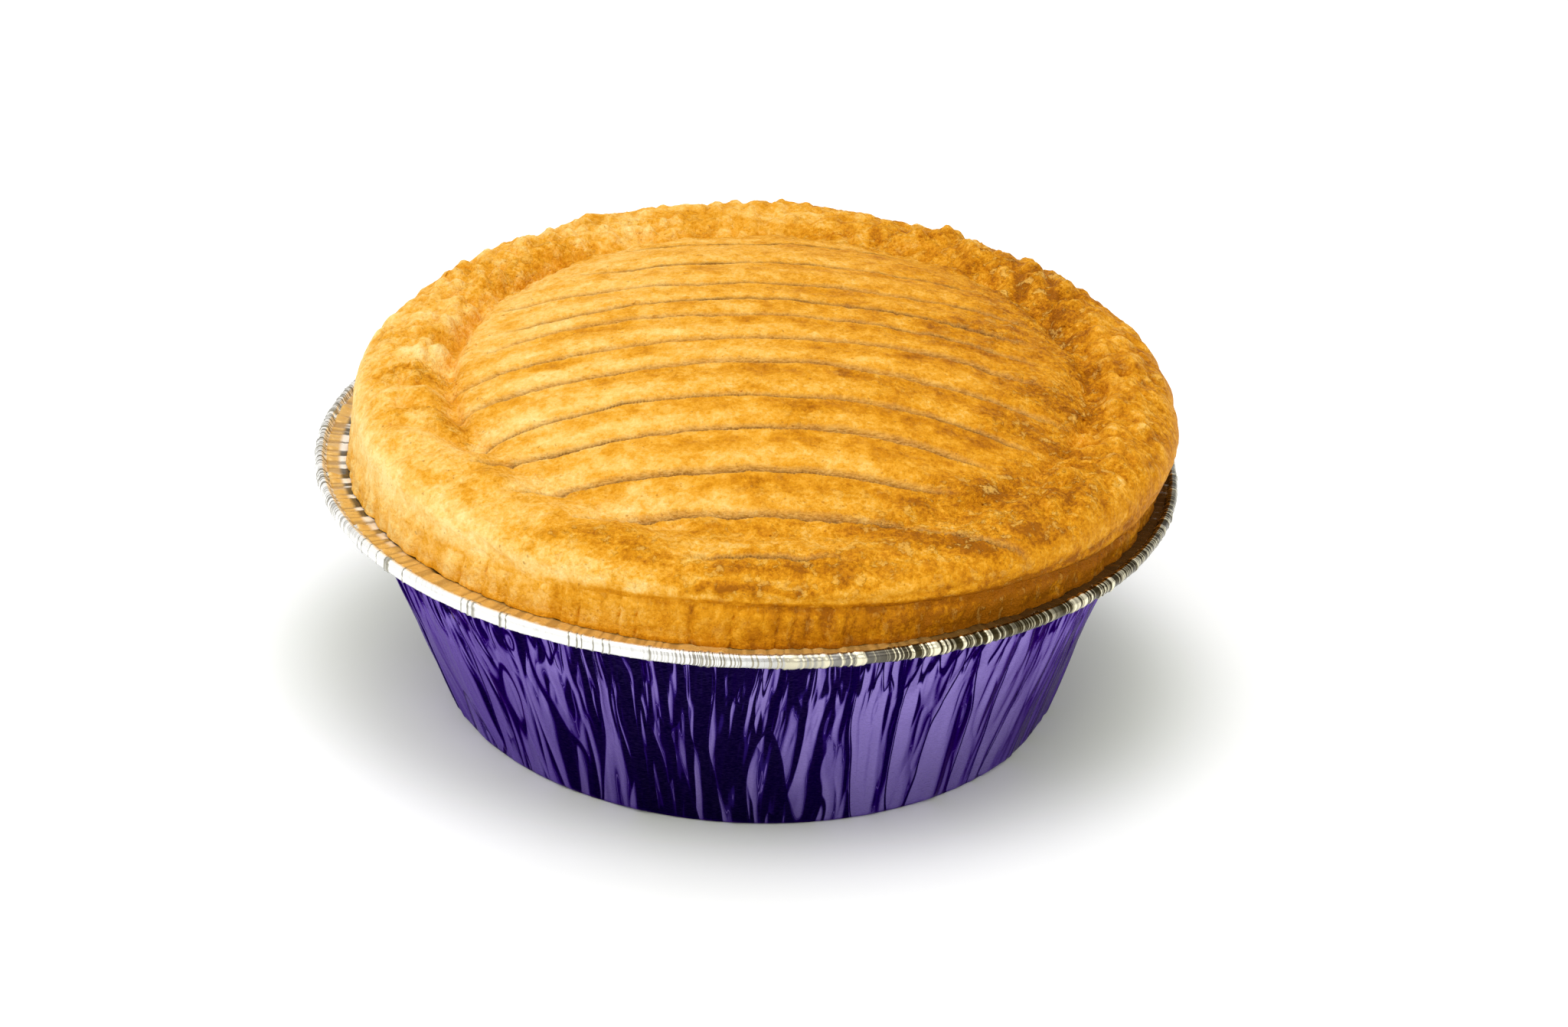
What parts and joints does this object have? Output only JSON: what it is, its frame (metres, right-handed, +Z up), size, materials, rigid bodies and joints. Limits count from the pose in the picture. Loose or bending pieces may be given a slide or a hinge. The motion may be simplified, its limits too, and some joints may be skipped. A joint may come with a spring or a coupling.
{
  "type": "steak and ale pie",
  "caption": "Round savoury pie with a domed, scored puff pastry lid on a deep pastry case, in its own crumpled foil tin with a rolled rim.",
  "frame": {"origin": "under the middle of the rolled rim, on the surface that the pie stands on", "axes": "+Z up; +X right and +Y away from the eater, as the pie is seen from its front at -Y; the score lines run along X"},
  "size_m": [0.13, 0.13, 0.0586],
  "materials": {
    "purple_foil": "purple lacquer on thin aluminium foil, crumpled",
    "bare_foil": "bare bright foil of the rim and the inside",
    "pale_crust": "pale baked pastry",
    "golden_crust": "egg-glazed golden puff pastry"
  },
  "bodies": {
    "root": {"foil_tin": "purple_foil", "pastry_case": "pale_crust", "pastry_lid": "golden_crust"}
  },
  "joints": []
}
